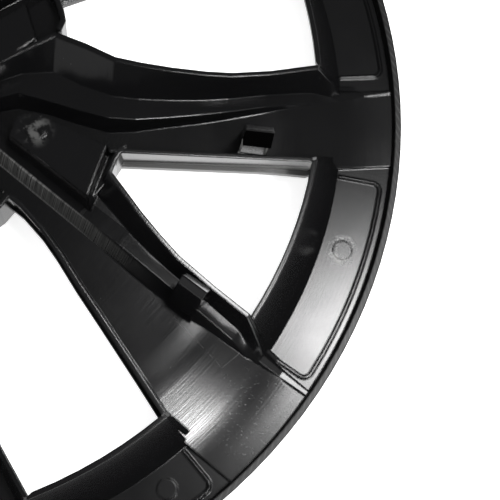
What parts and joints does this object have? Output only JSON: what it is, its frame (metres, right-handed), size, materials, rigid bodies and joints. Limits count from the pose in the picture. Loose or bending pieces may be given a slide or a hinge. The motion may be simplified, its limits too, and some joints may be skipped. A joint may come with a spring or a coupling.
{
  "type": "wheel cover",
  "caption": "Round black moulded plastic hubcap with paired narrow and wide spokes, open windows and spring clips on its back.",
  "frame": {"origin": "centre of the cover's front plane, on the wheel axis", "axes": "+Z along the wheel axis, from the front face to the back with the clips; +X along one narrow spoke"},
  "size_m": [0.49, 0.49, 0.046],
  "materials": {
    "cover": "black moulded plastic, satin back with tool marks"
  },
  "bodies": {
    "root": {"wheel_cover": "cover"}
  },
  "joints": []
}
